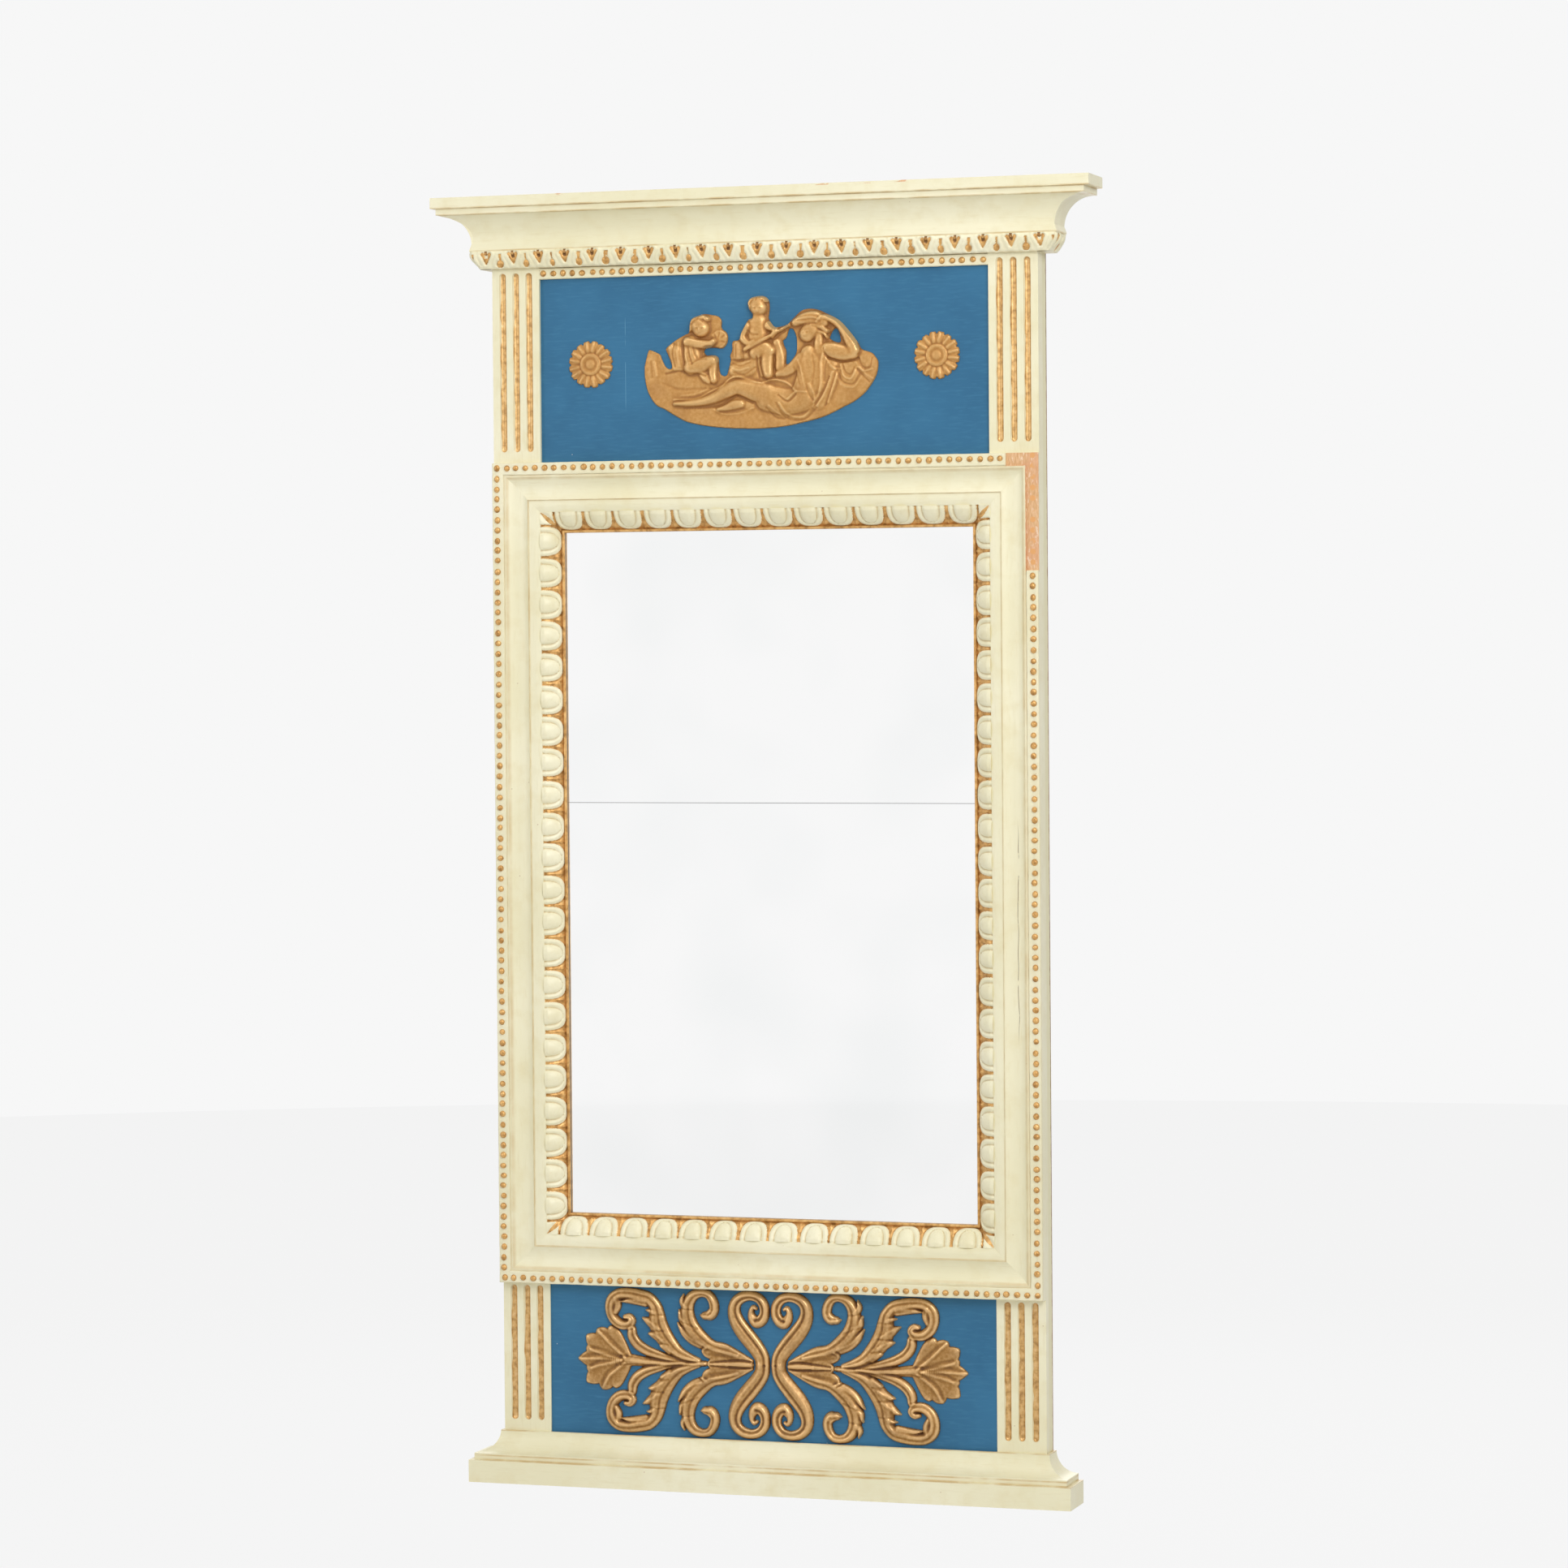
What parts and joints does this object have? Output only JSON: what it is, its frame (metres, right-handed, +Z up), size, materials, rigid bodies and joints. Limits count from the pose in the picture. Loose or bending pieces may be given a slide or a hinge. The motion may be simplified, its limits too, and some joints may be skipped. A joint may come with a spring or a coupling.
{
  "type": "trumeau mirror",
  "caption": "Tall wall mirror in a cream, blue and gilt wooden frame, with a figure relief above the glass, a scroll ornament below it, fluted pilasters, a cornice and a plinth.",
  "frame": {"origin": "on the wall plane, midway between the pivots of the two hanging rings, 1128 mm above the underside of the plinth", "axes": "+X to the right as seen from the front, +Y into the wall, square to it, and +Z up along the height"},
  "size_m": [0.632, 0.0505, 1.2],
  "materials": {
    "cream": "carved softwood, painted cream, satin, beads and recesses picked out in gilt",
    "blue": "flat board, matte blue paint",
    "gilt": "moulded composition with gold bronze paint and a brown glaze",
    "mirror": "silvered plate glass",
    "bare_wood": "unpainted softwood, darkened with age",
    "iron": "plain iron nails and screws",
    "brass": "stamped and bent brass, dull"
  },
  "bodies": {
    "frame": {"cornice_cap": "cream", "crown_front": "cream", "crown_return_left": "cream", "crown_return_right": "cream", "leaf_moulding_front": "cream", "leaf_moulding_return_left": "cream", "leaf_moulding_return_right": "cream", "frieze_rail": "cream", "pearl_strip_frieze": "cream", "pilaster_upper_left": "cream", "pilaster_upper_right": "cream", "pilaster_lower_left": "cream", "pilaster_lower_right": "cream", "frame_bottom": "cream", "frame_right": "cream", "frame_top": "cream", "frame_left": "cream", "pearl_strip_bottom": "cream", "pearl_strip_right": "cream", "pearl_strip_top": "cream", "pearl_strip_left": "cream", "egg_and_dart_bottom": "cream", "egg_and_dart_right": "cream", "egg_and_dart_top": "cream", "egg_and_dart_left": "cream", "base_moulding_front": "cream", "base_moulding_return_left": "cream", "base_moulding_return_right": "cream", "base_plinth": "cream", "upper_panel": "blue", "lower_panel": "blue", "figure_relief": "gilt", "rosette_left": "gilt", "rosette_right": "gilt", "scroll_left": "gilt", "scroll_right": "gilt", "palmette_spray_left": "gilt", "palmette_spray_right": "gilt", "mirror_pane_lower": "mirror", "mirror_pane_upper": "mirror", "back_stile_left": "bare_wood", "back_stile_right": "bare_wood", "back_rail_bottom": "bare_wood", "back_rail_lower": "bare_wood", "back_rail_upper": "bare_wood", "back_rail_top": "bare_wood", "glass_wedges": "bare_wood", "backboard": "bare_wood", "backboard_nails": "iron", "hanger_screws": "iron", "hanger_plate_left": "brass", "hanger_plate_right": "brass"},
    "ring_left": {"hanging_ring_left": "brass"},
    "ring_right": {"hanging_ring_right": "brass"}
  },
  "joints": [
    {"name": "ring_left_hinge", "type": "hinge", "parent": "frame", "child": "ring_left", "pos_m": [-0.234, -0.0038, 0], "axis": [1, 0, 0], "range_deg": [0, 180]},
    {"name": "ring_right_hinge", "type": "hinge", "parent": "frame", "child": "ring_right", "pos_m": [0.234, -0.0038, 0], "axis": [1, 0, 0], "range_deg": [0, 180]}
  ]
}
